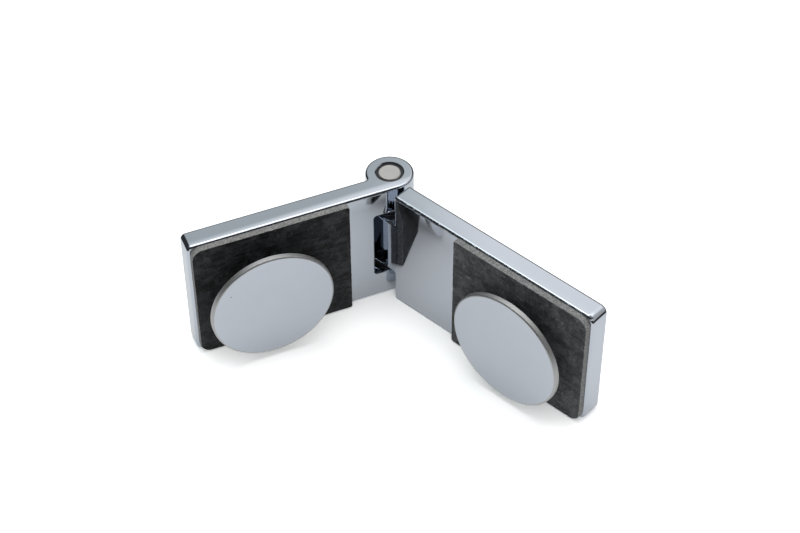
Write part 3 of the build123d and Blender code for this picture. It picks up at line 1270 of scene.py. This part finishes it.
@dataclass(frozen=True)
class Lamp:
    """A square soft lamp, which metal doesn't mirror because the room has its bright panel.

    Attributes:
        name: Its name.
        place: Where it hangs.
        target: What it points at.
        size: Its width.
        power: Its power, in watts.
    """

    name: str
    place: Corner
    target: Corner
    size: float
    power: float

    def hang(self) -> None:
        """Adds the lamp to the scene."""
        data = bpy.data.lights.new(self.name, "AREA")
        data.size = self.size
        data.energy = self.power
        lamp = bpy.data.objects.new(self.name, data)
        lamp.location = self.place
        away = Vector(self.place) - Vector(self.target)
        lamp.rotation_euler = away.to_track_quat("Z", "Y").to_euler()
        lamp.visible_glossy = False
        bpy.context.scene.collection.objects.link(lamp)


@dataclass(frozen=True)
class Camera:
    """The camera, looking down on the open hinge.

    Attributes:
        place: Where it stands, in metres.
        heading: Its direction, in degrees from +Y towards +X.
        pitch: How far down it looks, in degrees.
        roll: How far it leans to the right, in degrees.
        lens: Focal length, in millimetres.
        sensor_width: Width of its sensor, in millimetres.
        clip_start: Distance at which it starts to see, in metres.
    """

    place: Corner = (-0.19217, -0.46835, 0.51534)
    heading: float = 22.702
    pitch: float = 45.336
    roll: float = -0.309
    lens: float = 89.0125
    sensor_width: float = 36.0
    clip_start: float = 0.01

    def set_up(self) -> None:
        """Adds the camera to the scene and makes it the one in use."""
        data = bpy.data.cameras.new("camera")
        data.sensor_fit = "HORIZONTAL"
        data.sensor_width = self.sensor_width
        data.lens = self.lens
        data.clip_start = self.clip_start
        camera = bpy.data.objects.new("camera", data)
        heading = Matrix.Rotation(-math.radians(self.heading), 4, "Z")
        pitch = Matrix.Rotation(math.radians(90 - self.pitch), 4, "X")
        roll = Matrix.Rotation(math.radians(self.roll), 4, "Z")
        camera.matrix_world = Matrix.Translation(self.place) @ heading @ pitch @ roll
        bpy.context.scene.collection.objects.link(camera)
        bpy.context.scene.camera = camera


@dataclass(frozen=True)
class Floor:
    """A flat pale sheet that the camera sees lighter, shadows and all.

    Attributes:
        tint: Its colour, as it lights the object and is mirrored in it.
        seen: Its colour as the camera sees it.
        far: Its colour where the metal mirrors it far away.
        reach: Distances from the pin over which it ends in what the metal mirrors.
        glow: Its glow, for the camera and in what the metal mirrors.
        half_width: Half its width, in metres.
    """

    tint: Colour = (0.72, 0.72, 0.72)
    seen: Colour = (1.35, 1.35, 1.35)
    far: Colour = (0.02, 0.02, 0.02)
    reach: tuple[float, float] = (0.26, 0.36)
    glow: float = 0.12
    half_width: float = 2.0

    def lay(self) -> None:
        """Adds the floor under the hinge's lower edges."""
        half, low = self.half_width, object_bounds()[0][2]
        corners = ((-half, -half), (half, -half), (half, half), (-half, half))
        vertices = np.array([(x, y, low) for x, y in corners])
        floor = mesh_object("floor", vertices, [[0, 1, 2, 3]])
        material = bpy.data.materials.new("floor")
        material.use_nodes = True
        shader = Shader(material.node_tree)
        seen, mirrored = shader.sight()
        away = shader.vector("LENGTH", shader.place(), output="Value")
        mirrored_near = mirrored * (1 - away.step(*self.reach))
        table = shader.mix(mirrored - mirrored_near, self.tint, self.far)
        paper_tint = shader.mix(seen, table, self.seen)
        paper = shader.node("ShaderNodeBsdfDiffuse", {}, {"Color": paper_tint})
        glow = shader.node("ShaderNodeEmission", {}, {"Strength": (seen + mirrored_near) * self.glow})
        both = shader.node("ShaderNodeAddShader", {}, {0: paper, 1: glow})
        shader.node("ShaderNodeOutputMaterial", {}, {"Surface": both})
        floor.data.materials.append(material)
        floor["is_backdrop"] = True


@dataclass(frozen=True)
class Room:
    """The room that the metal mirrors, white to the camera and plain to all else.

    Seen from the table, it has a wall ahead that is greyer to the left, a paler ceiling that
    reaches just overhead, a lit panel in that ceiling, a low wall far to the right, and is
    nearly dark behind the camera and low down.

    Attributes:
        heading: Direction of the wall ahead, in degrees from +Y towards +X.
        dark: Brightness of the dark parts.
        wall: Brightness that the wall ahead adds.
        wall_right: How much more its right part adds.
        ceiling: Brightness of the ceiling.
        panel: Brightness that the lit panel adds.
        panel_fade: How much weaker the panel is towards the right, as a share.
        side_wall: Brightness that the low wall on the right adds.
        left_cast: Colour of all but the right part.
        right_cast: Colour of the right part.
        fill: Brightness of the room as it lights what isn't metal.
    """

    heading: float
    dark: float = 0.04
    wall: float = 0.52
    wall_right: float = 0.44
    ceiling: float = 1.12
    panel: float = 1.5
    panel_fade: float = 0.6
    side_wall: float = 0.45
    left_cast: Colour = (0.94, 1.0, 1.0)
    right_cast: Colour = (1.0, 1.0, 1.0)
    fill: float = 0.68

    def build(self) -> None:
        """Makes the room the scene's world.

        Each part is a product of smooth steps in the sine of the elevation and in how far a
        direction points ahead and to the right.
        """
        world = bpy.data.worlds.new("room")
        world.use_nodes = True
        bpy.context.scene.world = world
        shader = Shader(world.node_tree)
        x, y, z = shader.split(shader.node("ShaderNodeTexCoord", {}, {}, "Generated"))
        heading = math.radians(self.heading)
        ahead = x * math.sin(heading) + y * math.cos(heading)
        aside = x * math.cos(heading) - y * math.sin(heading)
        wall = ahead.step(-0.1, 0.35) * (z - 0.25 * aside).step(0.35, 0.68) * aside.step(-0.55, -0.3)
        rightward = (aside + 0.8 * (z - 0.7)).step(-0.05, 0.06)
        overhead = z.step(0.71, 0.92)
        reach = ahead.step(-0.16, 0.0)
        side_wall = aside.step(0.55, 0.8) * z.step(0.15, 0.35)
        panel = z.step(0.82, 0.92) * reach * (1 - self.panel_fade * aside.step(0.0, 0.2))
        level = self.dark + wall * (self.wall + self.wall_right * rightward) * (1 - overhead)
        level = level + self.ceiling * overhead * reach + self.side_wall * side_wall + self.panel * panel
        seen, mirrored = shader.sight()
        strength = seen + mirrored * level + (1 - seen - mirrored) * self.fill
        cast = shader.mix(seen + rightward * (1 - seen), self.left_cast, self.right_cast)
        room = shader.node("ShaderNodeBackground", {}, {"Color": cast, "Strength": strength})
        shader.node("ShaderNodeOutputWorld", {}, {"Surface": room})


@dataclass(frozen=True)
class Studio:
    """All that stands round the hinge.

    Attributes:
        camera: The camera.
        floor: The floor.
        lamps: The lamps.
    """

    camera: Camera = Camera()
    floor: Floor = Floor()
    lamps: tuple[Lamp, ...] = (
        Lamp("overhead_lamp", (-0.02, 0.0, 1.15), (0.0, -0.02, 0.0), size=0.7, power=4.6),
        Lamp("front_lamp", (-0.3, -0.75, 0.6), (0.0, -0.04, 0.02), size=0.6, power=0.8),
    )

    def build(self) -> None:
        """Sets the floor, the room, the lamps and the camera."""
        bpy.context.scene.view_settings.view_transform = "Standard"
        self.floor.lay()
        Room(self.camera.heading).build()
        for lamp in self.lamps:
            lamp.hang()
        self.camera.set_up()


# The hinge


@dataclass(frozen=True)
class LeafLook:
    """What sets one leaf's finish apart from the other's.

    Attributes:
        sheet: The finish of its gasket. Both gaskets are one material in a shaded and a lit copy: painted shade on
            the fixed leaf's, painted light on the swing leaf's.
        edge_wave: Height of the waves along its front edges.
        roll_start: Distance from mid height at which its polishing starts to round over.
        speck: Distance from the pin axis, along the leaf, of a small dark mark on its disc, and
            the mark's height over mid height, or none.
    """

    sheet: GasketSheet
    edge_wave: float
    roll_start: float = 15.5 * MM
    speck: tuple[float, float] | None = None


LOOKS = {
    Side.FIXED: LeafLook(
        # Darker copy of the gasket sheet: its colours carry painted shade.
        GasketSheet(dark=(0.0008, 0.0009, 0.0013), light=(0.044, 0.045, 0.049), cut=(0.31, 0.305, 0.3)),
        edge_wave=0.12 * MM,
        speck=(67.0 * MM, 10.4 * MM),
    ),
    Side.SWING: LeafLook(
        # Paler copy of the same gasket sheet: its colours carry painted light. Its streak direction is its own.
        GasketSheet(
            dark=(0.027, 0.028, 0.0305), light=(0.115, 0.118, 0.126), cut=(0.29, 0.29, 0.29),
            turn=(0.0, 0.0, 1.13),
        ),
        edge_wave=0.55 * MM,
    ),
}


def dress_leaf(side: Side, look: LeafLook) -> None:
    """Gives a leaf its plate, and makes the gasket and the clamp on it.

    Args:
        side: Which leaf.
        look: What sets its finish apart.
    """
    axes = leaf_axes(side)
    plate = PolishedPlate(roll_start=look.roll_start, front=tuple(axes.face), edge_wave=look.edge_wave)
    dress_solid(f"{side.value}_leaf", plate.material(f"{side.value}_leaf_plate"))
    Gasket(side, look.sheet).build(axes)
    speck = None
    if look.speck is not None:
        out, height = look.speck
        front = axes.extent(f"{side.value}_clamp_disc")[1][2]
        speck = tuple(axes.point(out, 0.0, front) + np.array((0.0, 0.0, height)))
    Clamp(side).build(axes, PolishedPlate(speck=speck))


def main() -> None:
    """Builds the hinge's pieces in order, then the studio."""
    logging.basicConfig(level=logging.INFO, format="%(message)s")
    for side, look in LOOKS.items():
        dress_leaf(side, look)
    Pivot().build(leaf_axes(Side.SWING))
    Studio().build()


if __name__ == "__main__":
    main()
